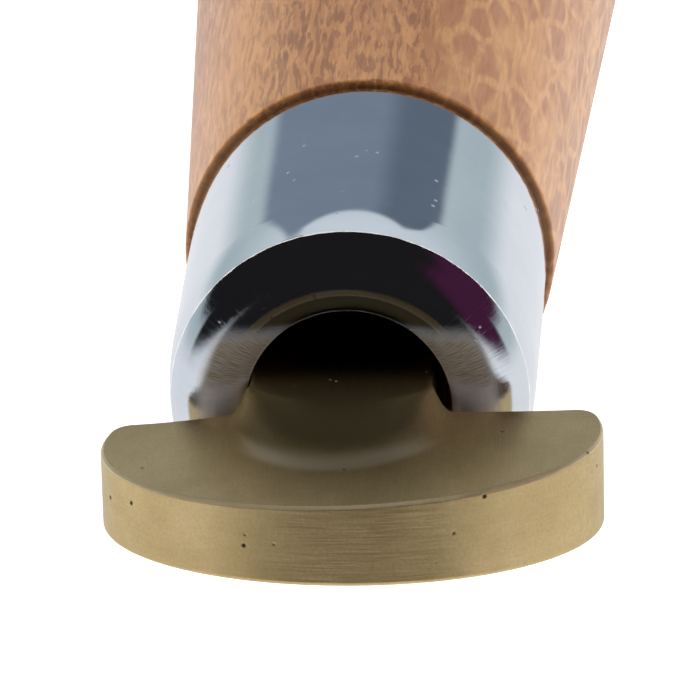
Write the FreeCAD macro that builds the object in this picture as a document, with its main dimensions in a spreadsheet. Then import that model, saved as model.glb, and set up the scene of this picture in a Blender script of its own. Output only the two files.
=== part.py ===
import FreeCAD, Part
import math
import os
import Sketcher

# A hand tool for rubbing and pressing: a D-shaped brass head on a round shank, a plated
# ferrule with a rounded nose, and a turned wooden handle.  The handle's axis runs along +Y,
# the head is at the -Y end, the flat sole of the head faces -Z.
# The origin lies below the middle of the tool, level with the lowest point of the handle.

SIZES = [
    # head, cast brass
    ("head_width", 34.5, "width of the D-shaped plate across X"),
    ("head_depth", 11.1, "from the widest line of the plate to its front edge"),
    ("head_back", 3.6, "from the widest line of the plate to its straight back edge"),
    ("head_gap", 3.1, "from the ferrule's rim circle to the back edge of the plate"),
    ("head_thick", 6.3, "thickness of the plate at the middle of its back edge"),
    ("sole_drop", 6.3, "sole of the head below the handle's axis"),
    ("corner_round", 1.6, "rounding of the two back corners, in plan"),
    ("side_fall", 2.1, "degrees: the top rises towards +X"),
    ("front_fall", 1.6, "degrees: the top falls towards the front"),
    ("plate_shift", 0.45, "the plate lies this far off the handle's axis, towards +X"),
    ("neck_shift", 0.475, "the neck lies this far off the handle's axis, towards -X"),
    ("boss_rise", 2.1, "flat top of the neck above the plate"),
    ("boss_reach", 8.6, "from the back edge to the foot of the neck's ramp"),
    ("cove_width", 1.3, "width of the cove at the foot of the neck, on the plate"),
    ("apron_wide", 16.0, "reach of the slight swelling round the neck, to each side"),
    ("apron_long", 11.6, "reach of that swelling towards the front"),
    ("apron_left", 1.9, "height of the swelling, continued to the neck's axis, at -X"),
    ("apron_right", 0.6, "height of the swelling, continued to the neck's axis, at +X"),
    ("neck_relief", 0.05, "the neck's underside is filed back above the sole"),
    ("neck_round", 0.9, "rounding between the neck and the back of the plate"),
    ("edge_break", 0.3, "worn edge between the front wall and the faces"),
    ("shank_radius", 6.6, "round shank inside the ferrule"),
    ("shank_front", 2.5, "the neck becomes the shank here, behind the rim circle"),
    ("neck_flat_end", 13.0, "the flat along the top ends here, behind the rim circle"),
    ("shank_end", 24.0, "rear end of the shank, behind the rim circle"),
    # ferrule, turned steel, plated
    ("rim_radius", 12.5, "outer radius at the front rim"),
    ("ferrule_radius", 13.05, "outer radius at the rear end"),
    ("ferrule_length", 27.5, "from the rim circle to the wooden shoulder"),
    ("ease_length", 4.5, "length of the curve that eases the wall into the rim"),
    ("ease_drop", 0.3, "how far that curve falls inside the straight taper at the rim"),
    ("ferrule_bore", 11.0, "inner radius"),
    ("nose_radius", 7.15, "radius of the round hole in the nose"),
    ("nose_rise", 2.4, "how far the nose stands in front of the rim circle"),
    ("lip_reach", 2.05, "from the edge of the hole to the foremost circle of the nose"),
    ("lip_drop", 1.0, "how far the edge of the hole lies behind that circle"),
    ("nose_wall", 3.2, "thickness of the nose at the hole"),
    # handle, turned wood
    ("shoulder_step", 0.5, "wood proud of the ferrule at the shoulder"),
    ("shoulder_round", 0.35, "rounding of the shoulder's edge"),
    ("belly_radius", 17.6, "largest radius of the handle"),
    ("belly_station", 72.0, "from the shoulder to the largest radius"),
    ("belly_arc", 62.0, "radius of the long curve over the belly"),
    ("dome_radius", 12.0, "radius of the domed end"),
    ("tenon_front", 6.0, "front end of the tenon, behind the rim circle"),
    ("bore_end", 50.0, "end of the bore in the handle, behind the rim circle"),
    # what holds the head in the handle
    ("stud_radius", 3.0, "threaded stud, M6"),
    ("stud_front", 14.5, "front end of the stud, behind the rim circle"),
    ("stud_end", 46.0, "rear end of the stud, behind the rim circle"),
    ("insert_radius", 5.0, "threaded insert, outside"),
    ("insert_front", 31.0, "front end of the insert, behind the rim circle"),
    ("insert_length", 16.0, "length of the insert"),
    ("washer_thick", 1.5, "washer under the end of the shank"),
    ("lock_radius", 2.0, "lock screw, M4"),
    ("lock_station", 18.5, "lock screw behind the rim circle"),
    ("lock_depth", 0.8, "lock screw sunk into the shank"),
    ("lock_socket", 1.0, "half the width across flats of its hexagon socket"),
    ("brad_radius", 0.7, "shaft of the ferrule's brads"),
    ("brad_head", 1.3, "head of the ferrule's brads"),
    ("brad_length", 5.5, "length of the brads below the ferrule's surface"),
    ("brad_station", 10.5, "brads behind the rim circle"),
    ("brad_angle", 52.0, "degrees from straight down to each brad"),
    # clearances
    ("neck_gap", 0.575, "between the neck and the hole in the nose, if they were in line"),
    ("slide_gap", 0.1, "between the shank or washer and the wood"),
    ("thread_gap", 0.05, "between a thread and what it screws into"),
    ("glue_gap", 0.05, "between the tenon and the ferrule"),
    ("hole_extra", 1.0, "how far a hole is cut past a surface or end"),
]

doc = FreeCAD.newDocument("brass_headed_smoothing_tool")
sheet = doc.addObject("Spreadsheet::Sheet", "sizes")
for row, (word, number, note) in enumerate(SIZES, 1):
    sheet.set(f"A{row}", word)
    sheet.set(f"B{row}", str(number))
    sheet.setAlias(f"B{row}", word)
    sheet.set(f"C{row}", note)
doc.recompute()


class Size:
    """A length as a number and as the sheet expression that drives it."""

    def __init__(self, number, text):
        self.number = number
        self.text = text

    def __add__(self, other):
        other = as_size(other)
        return Size(self.number + other.number, f"({self.text} + {other.text})")

    def __sub__(self, other):
        other = as_size(other)
        return Size(self.number - other.number, f"({self.text} - {other.text})")

    def __mul__(self, other):
        other = as_size(other)
        return Size(self.number * other.number, f"({self.text} * {other.text})")

    def __truediv__(self, other):
        other = as_size(other)
        return Size(self.number / other.number, f"({self.text} / {other.text})")

    def __neg__(self):
        return Size(-self.number, f"(0 - {self.text})")


def as_size(value):
    return value if isinstance(value, Size) else Size(value, str(value))


def root(size):
    return Size(math.sqrt(size.number), f"sqrt({size.text})")


def given(word):
    return Size(float(getattr(sheet, word)), f"sizes.{word}")


def drive(thing, path, size):
    thing.setExpression(path, size.text)


# ---------------------------------------------------------------- derived stations
zero = as_size(0)
belly_sink = given("belly_arc") - given("belly_radius")
dome_swing = given("belly_arc") - given("dome_radius")
dome_run = root(dome_swing * dome_swing - belly_sink * belly_sink)
belly_y = given("ferrule_length") + given("belly_station")
butt_y = belly_y + dome_run + given("dome_radius")
plate_back_y = -given("head_gap")
plate_middle_y = plate_back_y - given("head_back")
plate_front_y = plate_middle_y - given("head_depth")
neck_radius = given("nose_radius") - given("neck_gap")
rim_y = (-plate_front_y - butt_y) / 2
axis_z = given("belly_radius")
shoulder_radius = given("ferrule_radius") + given("shoulder_step")
washer_end = given("shank_end") + given("washer_thick")
tenon_radius = given("ferrule_bore") - given("glue_gap")
shank_bore = given("shank_radius") + given("slide_gap")
stud_bore = given("stud_radius") + given("thread_gap")
insert_end = given("insert_front") + given("insert_length")


def place(thing):
    """Put a piece drawn about the rim circle's centre into the tool's own frame."""
    drive(thing, "Placement.Base.y", rim_y)
    drive(thing, "Placement.Base.z", axis_z)


# ---------------------------------------------------------------- sketch helpers
def new_body(label):
    body = doc.addObject("PartDesign::Body", label)
    body.Label = label
    return body


def new_sketch(body, name, role="XY_Plane"):
    plane = next(p for p in body.Origin.OriginFeatures if p.Role == role)
    sketch = body.newObject("Sketcher::SketchObject", name)
    sketch.AttachmentSupport = [(plane, "")]
    sketch.MapMode = "FlatFace"
    return sketch


def pin_vertex(sketch, geometry, end, across, along):
    """Fix one vertex of the sketch by its distances from the origin."""
    for kind, size, axis in (("DistanceX", across, -2), ("DistanceY", along, -1)):
        if size is zero:
            sketch.addConstraint(Sketcher.Constraint("PointOnObject", geometry, end, axis))
            continue
        index = sketch.addConstraint(
            Sketcher.Constraint(kind, -1, 1, geometry, end, size.number))
        sketch.setExpression(f"Constraints[{index}]", size.text)


def flat_point(across, along):
    return FreeCAD.Vector(across.number, along.number, 0)


def draw_polygon(sketch, corners):
    """A closed outline of straight lines through the given corners."""
    count = len(corners)
    for index, corner in enumerate(corners):
        following = corners[(index + 1) % count]
        sketch.addGeometry(Part.LineSegment(flat_point(*corner), flat_point(*following)))
    for index, corner in enumerate(corners):
        sketch.addConstraint(
            Sketcher.Constraint("Coincident", index, 2, (index + 1) % count, 1))
        pin_vertex(sketch, index, 1, *corner)


def set_radius(sketch, geometry, radius):
    index = sketch.addConstraint(Sketcher.Constraint("Radius", geometry, radius.number))
    sketch.setExpression(f"Constraints[{index}]", radius.text)


def draw_circle(sketch, across, along, radius):
    circle = Part.Circle(flat_point(across, along), FreeCAD.Vector(0, 0, 1), radius.number)
    geometry = sketch.addGeometry(circle)
    pin_vertex(sketch, geometry, 3, across, along)
    set_radius(sketch, geometry, radius)


def revolve(body, sketch, axis="V_Axis"):
    turned = body.newObject("PartDesign::Revolution", body.Label + "_turned")
    turned.Profile = sketch
    turned.ReferenceAxis = (sketch, [axis])
    turned.Angle = 360
    doc.recompute()
    return turned


def turned_body(label, corners):
    """A turned piece: its half outline is given as (radius, station) corners."""
    body = new_body(label)
    sketch = new_sketch(body, label + "_outline")
    draw_polygon(sketch, corners)
    revolve(body, sketch)
    return body


def round_edges(body, name, base, radius, wanted, kind="PartDesign::Fillet"):
    doc.recompute()
    names = [f"Edge{i}" for i, edge in enumerate(base.Shape.Edges, 1) if wanted(edge)]
    dressed = body.newObject(kind, name)
    dressed.Base = (base, names)
    drive(dressed, "Radius" if kind.endswith("Fillet") else "Size", radius)
    doc.recompute()
    return dressed


def radial_hole(body, name, station, radius, angle=None):
    """A round hole from the axis outwards, straight down or turned about the axis."""
    sketch = new_sketch(body, name + "_outline")
    draw_circle(sketch, zero, station, radius)
    if angle is not None:
        turn = FreeCAD.Rotation(FreeCAD.Vector(0, 1, 0), angle)
        sketch.AttachmentOffset = FreeCAD.Placement(FreeCAD.Vector(0, 0, 0), turn)
    before = body.Shape.Volume
    hole = body.newObject("PartDesign::Pocket", name)
    hole.Profile = sketch
    hole.Type = "ThroughAll"
    doc.recompute()
    if not hole.Shape.Volume < before - 0.01:
        raise RuntimeError(f"{name} cuts nothing")
    return hole


def circle_at(radius, station, across=None):
    """A test for circular edges about a line along Y, of one radius, at one station."""
    centre = across.number if across is not None else 0
    def wanted(edge):
        limits = edge.BoundBox
        start = edge.Vertexes[0].Point
        return (abs(limits.YMin - station.number) < 1e-4
                and abs(limits.YMax - station.number) < 1e-4
                and abs(math.hypot(start.x - centre, start.z) - radius.number) < 1e-4)
    return wanted


# ---------------------------------------------------------------- ferrule
def wall_radius(station):
    """Radius of the ferrule's straight taper at a station behind the rim circle."""
    front = given("rim_radius") + given("ease_drop")
    taper = given("ferrule_radius") - front
    return front + taper * station / given("ferrule_length")


def make_ferrule():
    body = new_body("ferrule")
    sketch = new_sketch(body, "ferrule_outline")
    lip_x = given("nose_radius") + given("lip_reach")
    edge_y = given("lip_drop") - given("nose_rise")
    inner_y = given("nose_wall") - given("nose_rise")
    apex_y = -given("nose_rise")
    # two arcs meet on the foremost circle: the face of the nose, which ends on the rim circle,
    # and the lip, which dips towards the hole
    reach = given("rim_radius") - lip_x
    rise = given("nose_rise")
    face_radius = (reach * reach + rise * rise) / (rise * 2)
    dip = given("lip_reach")
    drop = given("lip_drop")
    lip_radius = (dip * dip + drop * drop) / (drop * 2)
    up = FreeCAD.Vector(0, 0, 1)
    ease_y = given("ease_length")
    corners = [
        (given("nose_radius"), edge_y),
        (given("nose_radius"), inner_y),
        (given("ferrule_bore"), inner_y),
        (given("ferrule_bore"), given("ferrule_length")),
        (given("ferrule_radius"), given("ferrule_length")),
        (wall_radius(ease_y), ease_y),
    ]
    for first, second in zip(corners, corners[1:]):
        sketch.addGeometry(Part.LineSegment(flat_point(*first), flat_point(*second)))
    wall = len(corners) - 2
    # the wall eases into the rim along an arc that starts tangent to the taper
    halfway = wall_radius(ease_y / 2) - given("ease_drop") / 4
    ease = sketch.addGeometry(Part.Arc(
        flat_point(*corners[-1]), flat_point(halfway, ease_y / 2),
        flat_point(given("rim_radius"), zero)))
    face_circle = Part.Circle(
        FreeCAD.Vector(lip_x.number, face_radius.number - rise.number, 0), up, face_radius.number)
    rim_turn = math.atan2(rise.number - face_radius.number, reach.number)
    face = sketch.addGeometry(Part.ArcOfCircle(face_circle, -math.pi / 2, rim_turn))
    lip_circle = Part.Circle(
        FreeCAD.Vector(lip_x.number, lip_radius.number - rise.number, 0), up, lip_radius.number)
    edge_turn = math.atan2(drop.number - lip_radius.number, -dip.number)
    lip = sketch.addGeometry(Part.ArcOfCircle(lip_circle, edge_turn, -math.pi / 2))
    for index in range(wall):
        sketch.addConstraint(Sketcher.Constraint("Coincident", index, 2, index + 1, 1))
    for index, corner in enumerate(corners[:-1]):
        pin_vertex(sketch, index, 1, *corner)
    pin_vertex(sketch, wall, 2, *corners[-1])
    # an arc runs anticlockwise, so this one starts at the rim and ends on the taper
    sketch.addConstraint(Sketcher.Constraint("Tangent", wall, 2, ease, 2))
    sketch.addConstraint(Sketcher.Constraint("Coincident", ease, 1, face, 2))
    pin_vertex(sketch, face, 2, given("rim_radius"), zero)
    sketch.addConstraint(Sketcher.Constraint("Coincident", face, 1, lip, 2))
    sketch.addConstraint(Sketcher.Constraint("Coincident", lip, 1, 0, 1))
    pin_vertex(sketch, face, 1, lip_x, apex_y)
    set_radius(sketch, face, face_radius)
    set_radius(sketch, lip, lip_radius)
    revolve(body, sketch)
    radial_hole(body, "lock_hole", given("lock_station"), given("lock_radius") + given("thread_gap"))
    for side, angle in brad_turns():
        radial_hole(body, f"brad_hole_{side}", given("brad_station"),
                    given("brad_radius") + given("thread_gap"), angle)
        countersink(body, f"brad_seat_{side}", angle)
    return body


def brad_turns():
    angle = given("brad_angle").number
    return (("left", angle), ("right", -angle))


def brad_surface():
    """Radius of the ferrule's surface where the brads sit."""
    return wall_radius(given("brad_station"))


def countersink(body, name, angle):
    """A flat-bottomed seat for a brad's head, sunk into the ferrule's surface."""
    sketch = new_sketch(body, name + "_outline")
    draw_circle(sketch, zero, given("brad_station"), given("brad_head") + given("thread_gap"))
    turn = FreeCAD.Rotation(FreeCAD.Vector(0, 1, 0), angle)
    depth = brad_surface() - brad_head_depth()
    shift = turn.multVec(FreeCAD.Vector(0, 0, -depth.number))
    sketch.AttachmentOffset = FreeCAD.Placement(shift, turn)
    seat = body.newObject("PartDesign::Pocket", name)
    seat.Profile = sketch
    seat.Type = "ThroughAll"
    doc.recompute()


def brad_head_depth():
    return given("brad_radius")


# ---------------------------------------------------------------- handle
def make_handle():
    body = new_body("handle")
    sketch = new_sketch(body, "handle_outline")
    shoulder_y = given("ferrule_length")
    corners = [
        (zero, butt_y),
        (zero, given("bore_end")),
        (given("insert_radius") + given("thread_gap"), given("bore_end")),
        (given("insert_radius") + given("thread_gap"), washer_end),
        (shank_bore, washer_end),
        (shank_bore, given("tenon_front")),
        (tenon_radius, given("tenon_front")),
        (tenon_radius, shoulder_y),
        (shoulder_radius, shoulder_y),
    ]
    for first, second in zip(corners, corners[1:]):
        sketch.addGeometry(Part.LineSegment(flat_point(*first), flat_point(*second)))
    shoulder_line = len(corners) - 2
    # straight taper, tangent to the long curve over the belly
    centre_x = -belly_sink
    to_centre = FreeCAD.Vector(centre_x.number - shoulder_radius.number,
                               belly_y.number - shoulder_y.number, 0)
    arc = given("belly_arc").number
    reach = math.sqrt(to_centre.Length ** 2 - arc ** 2)
    turn = math.atan2(to_centre.y, to_centre.x) - math.atan2(arc, reach)
    touch = flat_point(shoulder_radius, shoulder_y) + FreeCAD.Vector(
        reach * math.cos(turn), reach * math.sin(turn), 0)
    taper = sketch.addGeometry(Part.LineSegment(flat_point(shoulder_radius, shoulder_y), touch))
    up = FreeCAD.Vector(0, 0, 1)
    centre = FreeCAD.Vector(centre_x.number, belly_y.number, 0)
    dome_centre = FreeCAD.Vector(0, butt_y.number - given("dome_radius").number, 0)
    join_turn = math.atan2(dome_centre.y - centre.y, dome_centre.x - centre.x)
    start_turn = math.atan2(touch.y - centre.y, touch.x - centre.x)
    belly = sketch.addGeometry(
        Part.ArcOfCircle(Part.Circle(centre, up, arc), start_turn, join_turn))
    dome = sketch.addGeometry(Part.ArcOfCircle(
        Part.Circle(dome_centre, up, given("dome_radius").number), join_turn, math.pi / 2))
    for index in range(shoulder_line):
        sketch.addConstraint(Sketcher.Constraint("Coincident", index, 2, index + 1, 1))
    sketch.addConstraint(Sketcher.Constraint("PointOnObject", 0, 1, -2))
    for index, corner in enumerate(corners[1:-1], 1):
        pin_vertex(sketch, index, 1, *corner)
    pin_vertex(sketch, shoulder_line, 2, *corners[-1])
    sketch.addConstraint(Sketcher.Constraint("Coincident", shoulder_line, 2, taper, 1))
    sketch.addConstraint(Sketcher.Constraint("Tangent", taper, 2, belly, 1))
    sketch.addConstraint(Sketcher.Constraint("Tangent", belly, 2, dome, 1))
    sketch.addConstraint(Sketcher.Constraint("Coincident", dome, 2, 0, 1))
    pin_vertex(sketch, belly, 3, centre_x, belly_y)
    sketch.addConstraint(Sketcher.Constraint("PointOnObject", dome, 3, -2))
    set_radius(sketch, belly, given("belly_arc"))
    set_radius(sketch, dome, given("dome_radius"))
    turned = revolve(body, sketch)
    round_edges(body, "shoulder_edge", turned, given("shoulder_round"),
                circle_at(shoulder_radius, shoulder_y))
    radial_hole(body, "lock_way", given("lock_station"), given("lock_radius") + given("thread_gap"))
    for side, angle in brad_turns():
        brad_pilot(body, side, angle)
    return body


def brad_pilot(body, side, angle):
    """The blind hole that each brad has driven into the wood."""
    sketch = new_sketch(body, f"pilot_{side}_outline")
    draw_circle(sketch, zero, given("brad_station"), given("brad_radius") + given("thread_gap"))
    turn = FreeCAD.Rotation(FreeCAD.Vector(0, 1, 0), angle)
    depth = brad_surface() - given("brad_length")
    shift = turn.multVec(FreeCAD.Vector(0, 0, -depth.number))
    sketch.AttachmentOffset = FreeCAD.Placement(shift, turn)
    pilot = body.newObject("PartDesign::Pocket", f"pilot_{side}")
    pilot.Profile = sketch
    pilot.Type = "ThroughAll"
    doc.recompute()


# ---------------------------------------------------------------- head
def sculpt_height(across, along):
    """Height of the head's upper face above the axis: a sloping plate, a slight swelling, and
    the neck that rises out of it, over a long ramp in front and steeply at each side."""
    back = plate_back_y.number
    plate = given("head_thick").number - given("sole_drop").number
    side = math.tan(math.radians(given("side_fall").number))
    front = math.tan(math.radians(given("front_fall").number))
    slope = side * across + front * min(along - back, 0)
    beside = across + given("neck_shift").number
    ahead = max(back - along, 0)
    off_centre = max(math.hypot(beside, ahead), 1e-6)

    apron = math.hypot(beside / given("apron_wide").number, ahead / given("apron_long").number)
    left, right = given("apron_left").number, given("apron_right").number
    height = (left + right - (left - right) * beside / off_centre) / 2
    swelling = height * max(1 - apron, 0) ** 2

    cove = given("cove_width").number
    half = neck_radius.number + cove
    reach = given("boss_reach").number
    outline = max(math.hypot(beside / half, ahead / reach), 1e-6)
    inside = off_centre / outline - off_centre
    neck_top = plate + given("boss_rise").number
    flank = half - math.sqrt(neck_radius.number ** 2 - neck_top ** 2)
    run = flank + (reach - flank) * ahead / reach / outline
    rise = min(max(inside / run, 0), 1)
    hollow = min(cove / run, 0.8)
    lift = rise ** 2 / hollow if rise < hollow else 1 - (1 - rise) ** 2 / (1 - hollow)
    return (plate + slope + swelling) * (1 - lift) + neck_top * lift


def sculpting_tool():
    """What is milled and filed away above the plate and the neck."""
    spacing = 0.5
    left = -given("head_width").number / 2 - given("plate_shift").number - spacing
    first = plate_front_y.number - spacing
    last = given("neck_flat_end").number
    columns = math.ceil(-2 * left / spacing)
    rows = math.ceil((last - first) / spacing)
    grid = []
    for row in range(rows + 1):
        along = first + (last - first) * row / rows
        line = []
        for column in range(columns + 1):
            across = left - 2 * left * column / columns
            line.append(FreeCAD.Vector(across, along, sculpt_height(across, along)))
        grid.append(line)
    surface = Part.BSplineSurface()
    surface.interpolate(grid)
    tool = doc.addObject("Part::Feature", "sculpting_tool")
    clear = given("shank_radius").number + given("head_thick").number
    tool.Shape = Part.Face(surface).extrude(FreeCAD.Vector(0, 0, clear))
    return tool


def boolean(kind, name, base, tool):
    made = doc.addObject(f"Part::{kind}", name)
    made.Base = base
    made.Tool = tool
    doc.recompute()
    return made


def box(name, low, size):
    block = doc.addObject("Part::Box", name)
    for path, value in zip(("Length", "Width", "Height"), size):
        drive(block, path, value)
    for axis, value in zip("xyz", low):
        drive(block, f"Placement.Base.{axis}", value)
    return block


def rod(name, radius, start, end):
    """A round bar along Y."""
    bar = doc.addObject("Part::Cylinder", name)
    drive(bar, "Radius", radius)
    drive(bar, "Height", end - start)
    bar.Placement = FreeCAD.Placement(
        FreeCAD.Vector(0, 0, 0), FreeCAD.Rotation(FreeCAD.Vector(1, 0, 0), -90))
    drive(bar, "Placement.Base.y", start)
    return bar


def dressed(name, base, radius, wanted, kind="Fillet"):
    doc.recompute()
    size = radius.number
    edges = [(i, size, size) for i, e in enumerate(base.Shape.Edges, 1) if wanted(e)]
    made = doc.addObject(f"Part::{kind}", name)
    made.Base = base
    made.Edges = edges
    doc.recompute()
    return made


def make_head():
    half = given("head_width") / 2
    tall = given("shank_radius") + given("hole_extra")
    below = given("sole_drop") + given("hole_extra")
    ring = doc.addObject("Part::Ellipse", "plate_ring")
    drive(ring, "MajorRadius", half)
    drive(ring, "MinorRadius", given("head_depth"))
    drive(ring, "Placement.Base.x", given("plate_shift"))
    drive(ring, "Placement.Base.y", plate_middle_y)
    drive(ring, "Placement.Base.z", -below)
    block = doc.addObject("Part::Extrusion", "plate_block")
    block.Base = ring
    block.DirMode = "Custom"
    block.Dir = FreeCAD.Vector(0, 0, 1)
    drive(block, "LengthFwd", tall + below)
    block.Solid = True
    low_x = given("plate_shift") - half - given("hole_extra")
    wide = half * 2 + given("hole_extra") * 2
    back = box("back_waste", (low_x, plate_back_y, -below - given("hole_extra")),
               (wide, given("head_depth") * 2, tall + below * 2 + given("hole_extra") * 2))
    plate = boolean("Cut", "plate_cut", block, back)

    def back_corner(edge):
        low, high = edge.BoundBox.ZMin, edge.BoundBox.ZMax
        return (high - low > 1 and abs(edge.BoundBox.YMax - plate_back_y.number) < 1e-4
                and abs(edge.BoundBox.XMax - edge.BoundBox.XMin) < 1e-4)

    plate = dressed("plate_corners", plate, given("corner_round"), back_corner)
    neck = rod("neck", neck_radius, plate_middle_y,
               given("shank_front") + given("hole_extra"))
    drive(neck, "Placement.Base.x", -given("neck_shift"))
    joined = boolean("Fuse", "plate_and_neck", plate, neck)
    joined = dressed("neck_rounds", joined, given("neck_round"),
                     circle_at(neck_radius, plate_back_y, -given("neck_shift")))
    joined = boolean("Fuse", "plate_and_shank", joined,
                     rod("shank", given("shank_radius"), given("shank_front"), given("shank_end")))
    under = given("hole_extra") * 3
    waste_low = -given("sole_drop") - under
    sole_end = plate_back_y + given("neck_relief")
    sole = box("sole_waste", (low_x, plate_front_y - given("hole_extra"), waste_low),
               (wide, sole_end - plate_front_y + given("hole_extra"), under))
    flat = boolean("Cut", "sole_cut", joined, sole)
    relief = box("neck_waste", (low_x, sole_end, waste_low),
                 (wide, given("shank_front") - sole_end, under + given("neck_relief")))
    flat = boolean("Cut", "neck_cut", flat, relief)
    tapped = boolean("Cut", "stud_tapping", flat,
                     rod("tapping", stud_bore, given("stud_front") - given("hole_extra") / 2,
                         given("shank_end") + given("hole_extra")))
    dimple = doc.addObject("Part::Cylinder", "lock_dimple")
    drive(dimple, "Radius", given("lock_radius") + given("thread_gap"))
    drive(dimple, "Height", given("hole_extra") + given("lock_depth"))
    drive(dimple, "Placement.Base.y", given("lock_station"))
    drive(dimple, "Placement.Base.z", -given("shank_radius") - given("hole_extra"))
    dimpled = boolean("Cut", "dimple_cut", tapped, dimple)
    head = boolean("Cut", "brass_head", dimpled, sculpting_tool())

    def front_edge(edge):
        limits = edge.BoundBox
        return (limits.XMax - limits.XMin > 0.8 * given("head_width").number
                and limits.YMin < plate_middle_y.number)

    softened = dressed("brass_head_edges", head, given("edge_break"), front_edge)
    if softened.Shape.isNull() or not softened.Shape.isValid():
        raise RuntimeError("the worn edge of the head failed")
    head.Label = "head_before_edges"
    softened.Label = "brass_head"
    return softened


# ---------------------------------------------------------------- what holds the head
def make_washer():
    outer = given("shank_radius")
    inner = given("stud_radius") + given("slide_gap")
    return turned_body("clamp_washer", [
        (inner, given("shank_end")), (outer, given("shank_end")),
        (outer, washer_end), (inner, washer_end)])


def make_stud():
    point = given("stud_radius") * 0.25
    radius = given("stud_radius")
    front = given("stud_front")
    end = given("stud_end")
    return turned_body("tang_stud", [
        (zero, front), (radius - point, front), (radius, front + point),
        (radius, end - point), (radius - point, end), (zero, end)])


def make_insert():
    """A tapped bush with two coarse grip ribs between grooves."""
    groove = given("insert_length") / 7
    deep = given("insert_radius") - given("insert_radius") * 0.1
    full = given("insert_radius")
    start = given("insert_front")
    corners = [(stud_bore, start), (full, start)]
    for index in range(3):
        low = start + groove * (2 * index + 1)
        high = start + groove * (2 * index + 2)
        corners += [(full, low), (deep, low), (deep, high), (full, high)]
    corners += [(full, insert_end), (stud_bore, insert_end)]
    return turned_body("threaded_insert", corners)


def make_lock_screw():
    """A grub screw below the ferrule, its point in the dimple of the shank."""
    body = new_body("lock_screw")
    sketch = new_sketch(body, "lock_screw_outline", "YZ_Plane")
    radius = given("lock_radius")
    tip = -given("shank_radius") + given("lock_depth")
    foot = lock_surface() * -1
    point = radius * 0.3
    station = given("lock_station")
    draw_polygon(sketch, [
        (station, foot), (station + radius, foot), (station + radius, tip - point),
        (station + radius - point, tip), (station, tip)])
    axis_line = 4
    turned = body.newObject("PartDesign::Revolution", "lock_screw_turned")
    turned.Profile = sketch
    turned.ReferenceAxis = (sketch, [f"Edge{axis_line + 1}"])
    turned.Angle = 360
    doc.recompute()
    hexagon = new_sketch(body, "lock_socket_outline")
    across = given("lock_socket") * 2 / math.sqrt(3)
    corners = []
    for index in range(6):
        turn = math.radians(60 * index)
        corners.append((across * round(math.cos(turn), 6),
                        station + across * round(math.sin(turn), 6)))
    draw_polygon(hexagon, corners)
    hexagon.AttachmentOffset = FreeCAD.Placement(
        FreeCAD.Vector(0, 0, (foot + radius * 1.2).number), FreeCAD.Rotation())
    before = turned.Shape.Volume
    socket = body.newObject("PartDesign::Pocket", "lock_socket")
    socket.Profile = hexagon
    socket.Type = "ThroughAll"
    doc.recompute()
    if not socket.Shape.Volume < before - 0.1:
        raise RuntimeError("the socket of the lock screw cuts nothing")
    return body


def lock_surface():
    """How far out the end of the lock screw lies: just under the ferrule's surface."""
    return wall_radius(given("lock_station")) - given("lock_radius") * 0.2


def make_brads():
    """Two brads that pin the ferrule to the tenon, low on its sides."""
    pieces = []
    for side, angle in brad_turns():
        body = new_body(f"brad_{side}")
        sketch = new_sketch(body, f"brad_{side}_outline")
        top = brad_surface()
        seat = top - brad_head_depth()
        tip = top - given("brad_length") + given("thread_gap") * 2
        draw_polygon(sketch, [
            (zero, tip), (given("brad_radius") * 0.4, tip),
            (given("brad_radius"), tip + given("brad_radius") * 2),
            (given("brad_radius"), seat), (given("brad_head"), seat),
            (given("brad_head"), top), (zero, top)])
        revolve(body, sketch)
        down = FreeCAD.Rotation(FreeCAD.Vector(1, 0, 0), -90)
        body.Placement = FreeCAD.Placement(
            FreeCAD.Vector(0, 0, 0), FreeCAD.Rotation(FreeCAD.Vector(0, 1, 0), angle) * down)
        drive(body, "Placement.Base.y", given("brad_station"))
        pieces.append(body)
    pair = doc.addObject("Part::Compound", "ferrule_brads")
    pair.Label = "ferrule_brads"
    pair.Links = pieces
    return pair


sub_parts = [
    make_head(),
    make_ferrule(),
    make_handle(),
    make_washer(),
    make_stud(),
    make_insert(),
    make_lock_screw(),
    make_brads(),
]
for piece in sub_parts:
    place(piece)
doc.recompute()

for thing in doc.Objects:
    if "Invalid" in thing.State or "Error" in thing.State:
        raise RuntimeError(f"{thing.Label} failed: {thing.State}")

os.makedirs("parts", exist_ok=True)
for piece in sub_parts:
    if piece.Shape.isNull() or not piece.Shape.isValid():
        raise RuntimeError(f"{piece.Label} has no valid shape")
    piece.Shape.exportStep(f"parts/{piece.Label}.step")
    limits = piece.Shape.BoundBox
    print(f"{piece.Label}: {len(piece.Shape.Solids)} solid, {piece.Shape.Volume:.1f} mm3, "
          f"X {limits.XMin:.2f} {limits.XMax:.2f}  Y {limits.YMin:.2f} {limits.YMax:.2f}  "
          f"Z {limits.ZMin:.2f} {limits.ZMax:.2f}")
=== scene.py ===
import math

import bpy
from mathutils import Matrix, Vector


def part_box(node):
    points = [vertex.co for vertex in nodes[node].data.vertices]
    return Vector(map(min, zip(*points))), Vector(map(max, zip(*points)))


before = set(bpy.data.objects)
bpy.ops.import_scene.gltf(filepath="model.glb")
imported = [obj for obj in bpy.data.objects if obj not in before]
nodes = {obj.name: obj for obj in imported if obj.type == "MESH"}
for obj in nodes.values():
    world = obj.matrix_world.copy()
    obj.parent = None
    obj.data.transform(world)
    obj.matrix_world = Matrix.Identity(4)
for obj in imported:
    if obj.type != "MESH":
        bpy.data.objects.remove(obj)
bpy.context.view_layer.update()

MM = 0.001

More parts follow.
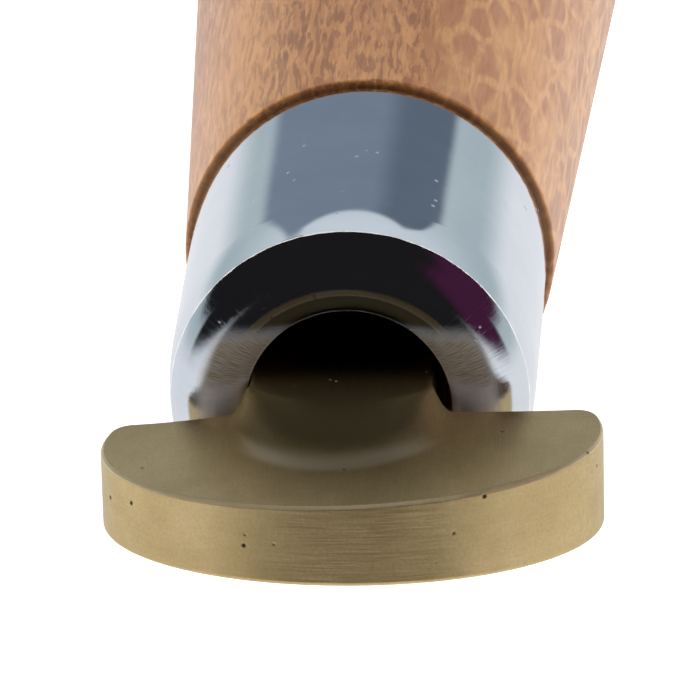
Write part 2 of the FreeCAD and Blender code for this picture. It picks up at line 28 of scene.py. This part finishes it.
# ------------------------------------------------------------------ places, from the frame
ferrule_low, ferrule_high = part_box("ferrule")
handle_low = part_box("handle")[0]
AXIS_Z = (ferrule_low.z + ferrule_high.z) / 2
NOSE_RISE = 2.4 * MM
HEAD_GAP = 3.1 * MM
NECK_SHIFT = 0.475 * MM
HOLE_RADIUS = 7.15 * MM
RIM_Y = ferrule_low.y + NOSE_RISE
SHOULDER_Y = ferrule_high.y
RIM_CENTRE = Vector((0, RIM_Y, AXIS_Z))
PLATE_BACK_Y = RIM_Y - HEAD_GAP
PLATE_FRONT_EDGE_Y = RIM_Y - 12.4 * MM
CLEAR_OF_NECK_X = 9.5 * MM
NECK_SHADING_REACH = 7.6 * MM
NECK_SHADING_AHEAD = 8.2 * MM
RIM_BAND_RADIUS = 11.8 * MM
BORE_RADIUS = 11.0 * MM
LIP_OUTER_RADIUS = 10.9 * MM
LIP_INNER_RADIUS = 9.8 * MM
LAMP_REACH = 0.7
OVERHEAD_POWER = 3.0
SIDE_POWER = 4.5


# ------------------------------------------------------------------ camera
def make_camera():
    """A long lens a little above the handle's axis, looking at the head's end."""
    azimuth, elevation, roll = math.radians(3.55), math.radians(22.2), math.radians(-1.42)
    distance = 450 * MM
    aim_above_rim = 3.39 * MM
    back = Vector((math.sin(azimuth) * math.cos(elevation),
                   -math.cos(azimuth) * math.cos(elevation), math.sin(elevation)))
    right = Vector((0, 0, 1)).cross(back).normalized()
    turn = Matrix.Rotation(roll, 3, back)
    right = turn @ right
    up = back.cross(right)
    data = bpy.data.cameras.new("camera")
    data.sensor_width = 36
    data.lens = 333.5
    data.clip_start = 0.01
    camera = bpy.data.objects.new("camera", data)
    bpy.context.scene.collection.objects.link(camera)
    turned = Matrix((right, up, back)).transposed().to_4x4()
    turned.translation = RIM_CENTRE + up * aim_above_rim + back * distance
    camera.matrix_world = turned
    bpy.context.scene.camera = camera


# ------------------------------------------------------------------ node helpers
class Recipe:
    """A material's or the world's node tree, with short calls that chain nodes."""

    def __init__(self, tree):
        self.tree = tree
        self.links = tree.links

    def node(self, kind, **settings):
        made = self.tree.nodes.new(kind)
        for name, value in settings.items():
            setattr(made, name, value)
        return made

    def feed(self, socket, value):
        if isinstance(value, bpy.types.NodeSocket):
            self.links.new(value, socket)
        elif value is not None:
            socket.default_value = value

    def math(self, operation, *values):
        made = self.node("ShaderNodeMath", operation=operation)
        for socket, value in zip(made.inputs, values):
            self.feed(socket, value)
        return made.outputs[0]

    def times(self, first, second):
        return self.math("MULTIPLY", first, second)

    def plus(self, first, second):
        return self.math("ADD", first, second)

    def minus(self, first, second):
        return self.math("SUBTRACT", first, second)

    def larger(self, first, second):
        return self.math("MAXIMUM", first, second)

    def mix(self, share, first, second):
        """The colour first where share is 0, second where it is 1."""
        made = self.node("ShaderNodeMix", data_type="RGBA")
        self.feed(made.inputs["Factor"], share)
        self.feed(made.inputs[6], first)
        self.feed(made.inputs[7], second)
        return made.outputs[2]

    def between(self, value, low, high, start=0.0, end=1.0, smooth=True):
        """start where value is low, end where it is high, eased in between."""
        made = self.node("ShaderNodeMapRange",
                         interpolation_type="SMOOTHSTEP" if smooth else "LINEAR")
        for name, number in (("Value", value), ("From Min", low), ("From Max", high),
                             ("To Min", start), ("To Max", end)):
            self.feed(made.inputs[name], number)
        return made.outputs["Result"]

    def position(self):
        return self.node("ShaderNodeTexCoord").outputs["Object"]

    def placed(self, vector, scale, location=(0, 0, 0)):
        made = self.node("ShaderNodeMapping")
        self.feed(made.inputs["Vector"], vector)
        made.inputs["Scale"].default_value = scale
        made.inputs["Location"].default_value = location
        return made.outputs["Vector"]

    def parts(self, vector):
        made = self.node("ShaderNodeSeparateXYZ")
        self.feed(made.inputs[0], vector)
        return made.outputs

    def joined(self, across, along, upward):
        made = self.node("ShaderNodeCombineXYZ")
        for socket, value in zip(made.inputs, (across, along, upward)):
            self.feed(socket, value)
        return made.outputs[0]

    def noise(self, vector, scale, detail=2.0, rough=0.5, distortion=0.0):
        made = self.node("ShaderNodeTexNoise")
        self.feed(made.inputs["Vector"], vector)
        made.inputs["Scale"].default_value = scale
        made.inputs["Detail"].default_value = detail
        made.inputs["Roughness"].default_value = rough
        made.inputs["Distortion"].default_value = distortion
        return made.outputs["Fac"]

    def cells(self, vector, scale, feature="F1"):
        made = self.node("ShaderNodeTexVoronoi", feature=feature)
        self.feed(made.inputs["Vector"], vector)
        made.inputs["Scale"].default_value = scale
        return made.outputs["Distance"]

    def bump(self, height, depth, after=None):
        made = self.node("ShaderNodeBump")
        made.inputs["Strength"].default_value = 1.0
        made.inputs["Distance"].default_value = depth
        self.feed(made.inputs["Height"], height)
        self.feed(made.inputs["Normal"], after)
        return made.outputs["Normal"]


def new_material(name):
    material = bpy.data.materials.new(name)
    material.use_nodes = True
    recipe = Recipe(material.node_tree)
    shader = material.node_tree.nodes["Principled BSDF"]
    return material, recipe, shader


def colour(red, green, blue):
    """A linear colour from screen values of 0 to 255."""
    def straight(value):
        value = value / 255
        return value / 12.92 if value <= 0.04045 else ((value + 0.055) / 1.055) ** 2.4
    return (straight(red), straight(green), straight(blue), 1)


# ------------------------------------------------------------------ colours, linear
# the plated ferrule
HAZY_PLATE = (0.72, 0.755, 0.80, 1)
CLEAR_PLATE = (0.79, 0.81, 0.84, 1)
LIP_BRASS_REFLECTION = (0.22, 0.145, 0.055, 1)
LIP_FLOOR_REFLECTION = (0.62, 0.56, 0.54, 1)
RIM_PAINTED_HIGHLIGHT = (0.93, 0.93, 0.92, 1)
HOLE_EDGE_HIGHLIGHT = (0.62, 0.47, 0.33, 1)
UNLIT_BORE = (0.012, 0.009, 0.008, 1)
# the brass head
DEEP_BRASS = (0.60, 0.445, 0.21, 1)
CLEAR_BRASS = (0.72, 0.545, 0.275, 1)
TARNISH_BROWN = (0.50, 0.36, 0.165, 1)
SANDED_BRIGHT = (0.88, 0.70, 0.41, 1)
GRAIN_BROWN = (0.38, 0.27, 0.12, 1)
NECK_PAINTED_SHADE = (0.20, 0.175, 0.09, 1)
COVE_SHINE = (0.99, 0.86, 0.60, 1)
RUBBED_EDGE = (0.84, 0.70, 0.45, 1)
PIT_BROWN = (0.09, 0.065, 0.04, 1)
SHANK_PAINTED_SHADE = (0.035, 0.022, 0.012, 1)
PALE_DUST = (0.75, 0.68, 0.55, 1)
# the wood
WOOD_SHADE = colour(162, 102, 54)
WOOD_LIGHT = colour(198, 140, 84)
STREAK_GOLD = colour(216, 152, 86)
VEIN_GOLD = colour(212, 160, 100)
ISLAND_BROWN = colour(162, 102, 58)
DASH_BROWN = colour(118, 64, 28)
SHOULDER_BROWN = colour(96, 54, 28)
# the small hardware
STAINED_STEEL = (0.42, 0.42, 0.43, 1)
CLEAN_STEEL = (0.56, 0.57, 0.58, 1)
BUSH_DEEP = (0.60, 0.45, 0.20, 1)
BUSH_BRIGHT = (0.76, 0.60, 0.30, 1)
# the studio
FLOOR_SHADE = (0.90, 0.90, 0.91, 1)
FLOOR_WHITE = (0.93, 0.93, 0.93, 1)
PANEL_PALE = (0.195, 0.245, 0.315, 1)
PANEL_DEEP = (0.125, 0.16, 0.21, 1)
WALL_LOW = (0.45, 0.53, 0.56, 1)
WALL_HIGH = (0.68, 0.74, 0.79, 1)
PAPER_FAR = (0.82, 0.84, 0.88, 1)
PAPER_NEAR = (0.95, 0.93, 0.90, 1)
UNLIT_ROOM = (0.012, 0.011, 0.012, 1)
MAUVE_CLOTH = (0.055, 0.012, 0.040, 1)


# ------------------------------------------------------------------ finishes
def about_axis(recipe):
    """(turn about the handle's axis, distance from it, station along it) of a point."""
    across, along, upward = recipe.parts(recipe.position())
    height = recipe.minus(upward, AXIS_Z)
    turn = recipe.math("ARCTAN2", across, height)
    squares = recipe.plus(recipe.times(across, across), recipe.times(height, height))
    reach = recipe.math("SQRT", squares)
    return turn, reach, along


def plated_finish():
    """Bright plating: a soft haze, fine turning lines on the wall, radial scratches on the
    nose, a painted highlight along the rim and the hole's edge, a painted reflection on the lip
    (the brass head in gold, the floor in white low down), and a bore painted near-black as shade."""
    material, r, shader = new_material("bright_plating")
    turn, reach, along = about_axis(r)
    on_nose = r.between(along, RIM_Y + 0.2 * MM, RIM_Y - 0.1 * MM)
    radial = r.joined(r.times(turn, 60), r.times(reach, 350), 0)
    scratches = r.noise(radial, 2.2, detail=5, rough=0.72)
    rare = r.between(r.noise(radial, 0.9, detail=3), 0.52, 0.66)
    rings = r.joined(r.times(turn, 1.5), r.times(along, 9000), 0)
    hairlines = r.noise(rings, 1.0, detail=3, rough=0.6)
    haze = r.noise(r.position(), 160, detail=4, rough=0.6)
    specks = r.between(r.cells(r.position(), 900), 0.16, 0.08)
    thin_out = r.between(r.noise(r.position(), 300, detail=1), 0.55, 0.66)
    specks = r.times(specks, thin_out)

    rough_wall = r.between(haze, 0.3, 0.7, 0.035, 0.075)
    rough_nose = r.between(r.times(scratches, r.plus(rare, 0.5)),
                           0.2, 0.9, 0.045, 0.20)
    rough = r.plus(r.times(rough_nose, on_nose),
                   r.times(rough_wall, r.minus(1.0, on_nose)))
    rough = r.plus(rough, r.times(specks, 0.25))
    # Painted highlight: a thin white line along the rim's edge, also made rougher and less
    # metallic.
    ragged = r.between(r.noise(r.position(), 900, detail=3), 0.3, 0.7, 0.02 * MM, 0.085 * MM)
    off_rim = r.math("ABSOLUTE", r.minus(along, RIM_Y - 0.02 * MM))
    rim_highlight = r.math("GREATER_THAN", ragged, off_rim)
    rim_highlight = r.times(rim_highlight, r.math("GREATER_THAN", reach, RIM_BAND_RADIUS))
    rough = r.plus(rough, r.times(rim_highlight, 0.5))
    # Painted highlight: a thin light line along the hole's edge.
    at_edge = r.between(reach, HOLE_RADIUS + 0.16 * MM, HOLE_RADIUS + 0.05 * MM)
    at_edge = r.times(at_edge, r.between(along, RIM_Y - 0.9 * MM, RIM_Y - 1.2 * MM))
    # Painted shade: the bore's inside gets a near-black colour.
    in_bore = r.times(r.between(reach, BORE_RADIUS + 0.3 * MM, BORE_RADIUS),
                     r.between(along, RIM_Y + 0.2 * MM, RIM_Y + 0.8 * MM))

    height = r.minus(r.parts(r.position())[2], AXIS_Z)
    # Painted reflection on the lip: gold where the brass head is mirrored, white low down where
    # the floor is mirrored.
    lip_reflection = r.times(r.between(reach, LIP_OUTER_RADIUS, LIP_INNER_RADIUS), on_nose)
    lip_reflection = r.times(lip_reflection, r.between(height, 6.6 * MM, 4.8 * MM))
    pale = r.between(height, 2.8 * MM, 1.0 * MM)
    patch = r.between(scratches, 0.35, 0.65, 0.60, 0.95)
    shade = r.between(haze, 0.25, 0.75)
    tone = r.mix(shade, HAZY_PLATE, CLEAR_PLATE)
    lip_tone = r.mix(pale, LIP_BRASS_REFLECTION, LIP_FLOOR_REFLECTION)
    tone = r.mix(r.times(lip_reflection, patch), tone, lip_tone)
    tone = r.mix(rim_highlight, tone, RIM_PAINTED_HIGHLIGHT)
    tone = r.mix(r.times(at_edge, 0.6), tone, HOLE_EDGE_HIGHLIGHT)
    rim_highlight = r.larger(rim_highlight, r.times(at_edge, 0.35))
    r.feed(shader.inputs["Base Color"], r.mix(in_bore, tone, UNLIT_BORE))
    # Where the painted highlight and painted reflection lie, the plating is made less metallic so
    # the painted colour shows.
    painted_light_share = r.larger(r.times(rim_highlight, 0.8),
                  r.times(lip_reflection, 0.75))
    metal = r.minus(1.0, painted_light_share)
    r.feed(shader.inputs["Metallic"], metal)
    r.feed(shader.inputs["Roughness"], rough)
    fine = r.bump(hairlines, 0.0006 * MM)
    cut = r.bump(r.times(scratches, on_nose), 0.006 * MM, after=fine)
    r.feed(shader.inputs["Normal"], r.bump(specks, 0.01 * MM, after=cut))
    return material


def brass_finish():
    """Filed and sanded cast brass: lengthwise sanding on top, level file marks on the front
    wall, a few casting pits, scuffed edges, painted shade and dark reflection round the neck
    with a painted highlight line along its cove, dust at the ferrule's mouth, and painted
    shade on the shank inside the ferrule."""
    material, r, shader = new_material("sanded_brass")
    place = r.position()
    across, along, _ = r.parts(place)
    rise = r.parts(r.node("ShaderNodeTexCoord").outputs["Normal"])[2]
    facing_up = r.between(rise, 0.5, 0.85)
    sanding = r.noise(r.placed(place, (7000, 420, 2500)), 1.0, detail=4, rough=0.65)
    filing = r.noise(r.placed(place, (300, 300, 9000)), 1.0, detail=4, rough=0.65)
    marks = r.parts(r.mix(facing_up, filing, sanding))[0]
    blotch = r.noise(place, 150, detail=5, rough=0.6)
    tarnish = r.noise(r.placed(place, (240, 240, 420)), 1.0, detail=3, rough=0.55)
    pits = r.between(r.cells(place, 560), 0.12, 0.04)
    pits = r.times(pits, r.between(r.noise(place, 190, detail=2), 0.55, 0.62))
    grains = r.between(r.noise(place, 5200, detail=2, rough=0.7), 0.35, 0.7)
    tone = r.mix(r.between(blotch, 0.3, 0.7), DEEP_BRASS, CLEAR_BRASS)
    tone = r.mix(r.between(tarnish, 0.45, 0.75, 0.0, 0.35), tone, TARNISH_BROWN)
    tone = r.mix(r.between(marks, 0.40, 0.75, 0.0, 0.30), tone, SANDED_BRIGHT)
    tone = r.mix(r.times(grains, 0.25), tone, GRAIN_BROWN)

    # Painted shade and dark reflection: the upward-facing ramp round the neck is darkened where
    # it mirrors the ferrule's dark mouth.
    from_neck = r.times(r.plus(across, NECK_SHIFT), 1 / NECK_SHADING_REACH)
    ahead = r.times(r.minus(PLATE_BACK_Y, along), 1 / NECK_SHADING_AHEAD)
    ahead = r.larger(ahead, 0.0)
    from_neck = r.math("SQRT", r.plus(r.times(from_neck, from_neck),
                                      r.times(ahead, ahead)))
    neck_shade = r.between(r.plus(from_neck, r.times(tarnish, 0.10)), 1.02, 0.80)
    neck_shade = r.times(neck_shade, r.between(rise, 0.70, 0.90))
    tone = r.mix(r.times(neck_shade, 0.75), tone, NECK_PAINTED_SHADE)
    # Painted highlight: a bright line along the cove at the front of the neck's ramp.
    cove = r.times(r.between(from_neck, 0.84, 0.97), r.between(from_neck, 1.16, 1.02))
    cove = r.times(cove, r.between(ahead, 0.45, 0.85))
    tone = r.mix(r.times(cove, 0.85), tone, COVE_SHINE)

    edge = r.times(r.between(rise, 0.15, 0.40), r.between(rise, 0.97, 0.90))
    beside = r.math("GREATER_THAN", r.math("ABSOLUTE", across), CLEAR_OF_NECK_X)
    before = r.math("LESS_THAN", along, PLATE_FRONT_EDGE_Y)
    edge = r.times(edge, r.larger(beside, before))
    edge = r.times(edge, r.between(blotch, 0.25, 0.55, 0.35, 0.8))
    tone = r.mix(edge, tone, RUBBED_EDGE)
    tone = r.mix(pits, tone, PIT_BROWN)
    # Painted shade: the neck's flat and shank are darkened from just ahead of the ferrule's mouth
    # into it.
    inside = r.between(along, RIM_Y - 2.6 * MM, RIM_Y + 2.4 * MM, smooth=False)
    shank_shade = r.between(inside, 0.0, 0.9)
    tone = r.mix(shank_shade, tone, SHANK_PAINTED_SHADE)
    dust = r.between(r.cells(place, 1300), 0.15, 0.09)
    dust = r.times(dust, r.between(r.noise(place, 500, detail=2), 0.56, 0.62))
    settled = r.times(r.between(along, RIM_Y - 4.0 * MM, RIM_Y - 2.0 * MM),
                     r.between(along, RIM_Y + 2.4 * MM, RIM_Y + 1.6 * MM))
    dust = r.times(dust, r.times(settled, facing_up))
    tone = r.mix(dust, tone, PALE_DUST)
    r.feed(shader.inputs["Base Color"], tone)
    dull = r.larger(r.times(edge, 0.5), dust)
    r.feed(shader.inputs["Metallic"], r.between(dull, 0.0, 1.0, 0.92, 0.4, smooth=False))
    rough = r.between(marks, 0.25, 0.8, 0.34, 0.50)
    r.feed(shader.inputs["Roughness"], r.plus(rough, r.times(pits, 0.3)))
    grooves = r.bump(marks, 0.010 * MM)
    uneven = r.bump(blotch, 0.03 * MM, after=grooves)
    r.feed(shader.inputs["Normal"], r.bump(r.minus(1.0, pits), 0.05 * MM, after=uneven))
    return material


def wood_finish():
    """Golden ray-flecked wood: short dark dashes along the grain, which widen into brown
    islands between light veins on the +X side."""
    material, r, shader = new_material("flecked_wood")
    place = r.position()
    across, along, _ = r.parts(place)
    waver = r.node("ShaderNodeTexNoise")
    r.feed(waver.inputs["Vector"], r.placed(place, (260, 70, 260)))
    waver.inputs["Scale"].default_value = 1.0
    waver.inputs["Detail"].default_value = 3.0
    shift = r.node("ShaderNodeVectorMath", operation="MULTIPLY_ADD")
    r.feed(shift.inputs[0], waver.outputs["Color"])
    shift.inputs[1].default_value = (1.6 * MM, 5 * MM, 1.6 * MM)
    r.feed(shift.inputs[2], place)
    bent = shift.outputs[0]

    bands = r.noise(r.placed(place, (150, 14, 150)), 1.0, detail=4, rough=0.55, distortion=0.6)
    ground = r.mix(r.between(bands, 0.3, 0.7), WOOD_SHADE, WOOD_LIGHT)
    streaks = r.noise(r.placed(bent, (2300, 230, 2300)), 1.0, detail=4, rough=0.60)
    ground = r.mix(r.between(streaks, 0.54, 0.40, 0.0, 0.5), ground, STREAK_GOLD)

    side = r.plus(across, r.times(r.minus(bands, 0.5), 6 * MM))
    to_right = r.between(side, 1.5 * MM, 6.0 * MM)
    at_left = r.between(side, -4 * MM, -11 * MM)
    thin_dash = r.between(r.noise(r.placed(bent, (2700, 300, 2700)), 1.0, detail=2), 0.50, 0.60)
    wide_dash = r.between(r.cells(r.placed(bent, (1350, 210, 1350)), 1.0), 0.46, 0.26)
    gather = r.between(r.noise(r.placed(place, (260, 90, 260)), 1.0, detail=2), 0.36, 0.58)
    dashes = r.larger(r.times(thin_dash, 0.8),
                    r.times(wide_dash, gather))
    dashes = r.times(dashes, r.between(to_right, 0.0, 1.0, 1.0, 0.30))
    dashes = r.times(dashes, r.between(at_left, 0.0, 1.0, 1.0, 0.45))

    islands = r.cells(r.placed(bent, (430, 150, 430), (5, 2, 7)), 1.0, feature="DISTANCE_TO_EDGE")
    islands = r.times(r.between(islands, 0.04, 0.16), to_right)
    patchy = r.between(r.noise(r.placed(place, (200, 60, 200)), 1.0, detail=2), 0.30, 0.50)
    islands = r.times(islands, patchy)
    tone = r.mix(r.times(to_right, 0.45), ground, VEIN_GOLD)
    tone = r.mix(r.times(islands, 0.75), tone, ISLAND_BROWN)
    tone = r.mix(r.times(dashes, 0.70), tone, DASH_BROWN)
    # The shoulder's end grain is darker, with painted shade in the step behind the ferrule.
    at_shoulder = r.between(along, SHOULDER_Y + 0.22 * MM, SHOULDER_Y + 0.05 * MM)
    tone = r.mix(r.times(at_shoulder, 0.5), tone, SHOULDER_BROWN)
    r.feed(shader.inputs["Base Color"], tone)
    r.feed(shader.inputs["Roughness"], r.between(streaks, 0.3, 0.8, 0.36, 0.52))
    shader.inputs["Coat Weight"].default_value = 0.45
    shader.inputs["Coat Roughness"].default_value = 0.32
    grain = r.bump(streaks, 0.012 * MM)
    r.feed(shader.inputs["Normal"], r.bump(dashes, -0.02 * MM, after=grain))
    return material


def steel_finish():
    """Plain turned steel of the small hidden hardware."""
    material, r, shader = new_material("plain_steel")
    place = r.position()
    stain = r.noise(place, 400, detail=4, rough=0.6)
    turned = r.noise(r.placed(place, (500, 9000, 500)), 1.0, detail=3)
    tone = r.mix(r.between(stain, 0.35, 0.7), STAINED_STEEL, CLEAN_STEEL)
    r.feed(shader.inputs["Base Color"], tone)
    shader.inputs["Metallic"].default_value = 1.0
    r.feed(shader.inputs["Roughness"], r.between(turned, 0.3, 0.7, 0.24, 0.42))
    r.feed(shader.inputs["Normal"], r.bump(turned, 0.004 * MM))
    return material


def bush_finish():
    """Bright turned brass of the threaded insert."""
    material, r, shader = new_material("turned_brass")
    place = r.position()
    turned = r.noise(r.placed(place, (400, 9000, 400)), 1.0, detail=3)
    tone = r.mix(r.between(turned, 0.3, 0.7), BUSH_DEEP, BUSH_BRIGHT)
    r.feed(shader.inputs["Base Color"], tone)
    shader.inputs["Metallic"].default_value = 1.0
    r.feed(shader.inputs["Roughness"], r.between(turned, 0.3, 0.7, 0.2, 0.36))
    r.feed(shader.inputs["Normal"], r.bump(turned, 0.004 * MM))
    return material


def dress_nodes():
    plain_steel = steel_finish()
    finishes = {
        "brass_head": brass_finish(),
        "ferrule": plated_finish(),
        "handle": wood_finish(),
        "threaded_insert": bush_finish(),
    }
    for name, node in nodes.items():
        finish = finishes.get(name, plain_steel)
        if not node.material_slots:
            node.data.materials.append(finish)
        for slot in node.material_slots:
            slot.material = finish


# ------------------------------------------------------------------ studio
def make_floor():
    bpy.ops.object.select_all(action="DESELECT")
    bpy.ops.mesh.primitive_plane_add(size=6, location=(0, 0, handle_low.z))
    floor = bpy.context.object
    floor.name = "studio_floor"
    material, r, shader = new_material("white_paper")
    haze = r.noise(r.position(), 3, detail=2)
    r.feed(shader.inputs["Base Color"], r.mix(haze, FLOOR_SHADE, FLOOR_WHITE))
    shader.inputs["Roughness"].default_value = 0.9
    shader.inputs["Emission Color"].default_value = (1, 1, 1, 1)
    shader.inputs["Emission Strength"].default_value = 0.8
    floor.data.materials.append(material)
    floor.visible_glossy = False


def make_light_tent():
    """The world is a light tent: a dark doorway towards the viewer with a narrow dark apron
    below it, a dark roof, a grey-blue panel at the far side with rounded upper corners,
    bright paper below, and a mauve cloth high on the right."""
    world = bpy.data.worlds.new("light_tent")
    bpy.context.scene.world = world
    world.use_nodes = True
    r = Recipe(world.node_tree)
    background = world.node_tree.nodes["Background"]
    direction = r.node("ShaderNodeTexCoord").outputs["Generated"]
    across, along, upward = r.parts(direction)
    forward = r.times(along, -1.0)
    sideways = r.math("ABSOLUTE", r.math("ARCTAN2", across, forward))
    away = r.larger(along, 0.0)

    doorway = r.times(r.between(sideways, math.radians(88), math.radians(80)),
                     r.between(upward, -0.03, 0.02))
    apron = r.times(r.between(sideways, math.radians(42), math.radians(27)),
                   r.between(upward, -0.66, -0.50))
    behind = r.times(away, r.between(r.math("ABSOLUTE", across), 0.62, 0.42))
    leaning = r.minus(upward, r.times(behind, 0.80))
    overhead = r.between(leaning, 0.19, 0.25)
    dark = r.larger(r.larger(doorway, apron), overhead)

    off_middle = r.plus(across, 0.04)
    bow = r.times(r.times(off_middle, off_middle), 0.5)
    past = r.larger(r.minus(r.math("ABSOLUTE", off_middle), 0.24), 0.0)
    corners = r.times(r.times(past, past), 12.0)
    arched = r.plus(r.minus(upward, bow), corners)
    panel = r.times(r.between(across, 0.31, 0.28), r.between(across, -0.37, -0.33))
    panel = r.times(panel, r.between(along, 0.5, 0.6))
    panel = r.times(panel, r.between(upward, 0.10, 0.18))
    panel = r.times(panel, r.between(arched, 0.47, 0.43))
    panel_tone = r.mix(r.between(across, 0.02, 0.14), PANEL_PALE,
                       PANEL_DEEP)

    wall = r.mix(r.between(upward, 0.10, 0.60), WALL_LOW, WALL_HIGH)
    paper = r.mix(r.between(upward, -0.2, -0.8), PAPER_FAR, PAPER_NEAR)
    tone = r.mix(r.between(upward, 0.08, -0.12), wall, paper)
    tone = r.mix(panel, tone, panel_tone)
    cloth = r.times(r.between(across, 0.50, 0.62), r.between(upward, 0.82, 0.70))
    dark_tone = r.mix(cloth, UNLIT_ROOM, MAUVE_CLOTH)
    tone = r.mix(dark, tone, dark_tone)
    r.feed(background.inputs["Color"], tone)
    background.inputs["Strength"].default_value = 1.0


def make_lamp(name, offset, depth, power):
    """A soft box aimed at the rim's centre, which the plating doesn't mirror."""
    data = bpy.data.lights.new(name, "AREA")
    data.shape = "RECTANGLE"
    data.size = 0.8
    data.size_y = depth
    data.energy = power
    lamp = bpy.data.objects.new(name, data)
    bpy.context.scene.collection.objects.link(lamp)
    lamp.location = RIM_CENTRE + Vector(offset)
    lamp.rotation_mode = "QUATERNION"
    lamp.rotation_quaternion = (lamp.location - RIM_CENTRE).to_track_quat("Z", "Y")
    lamp.visible_glossy = False


def make_lamps():
    """One soft box overhead and one at each side."""
    make_lamp("overhead_box", (0.0, 0.0, LAMP_REACH), 0.8, OVERHEAD_POWER)
    for name, side in (("left_box", -1), ("right_box", 1)):
        make_lamp(name, (LAMP_REACH * side, 0.05, 0.22), 0.6, SIDE_POWER)


make_camera()
dress_nodes()
make_floor()
make_light_tent()
make_lamps()
scene = bpy.context.scene
scene.view_settings.view_transform = "Standard"
scene.view_settings.look = "None"
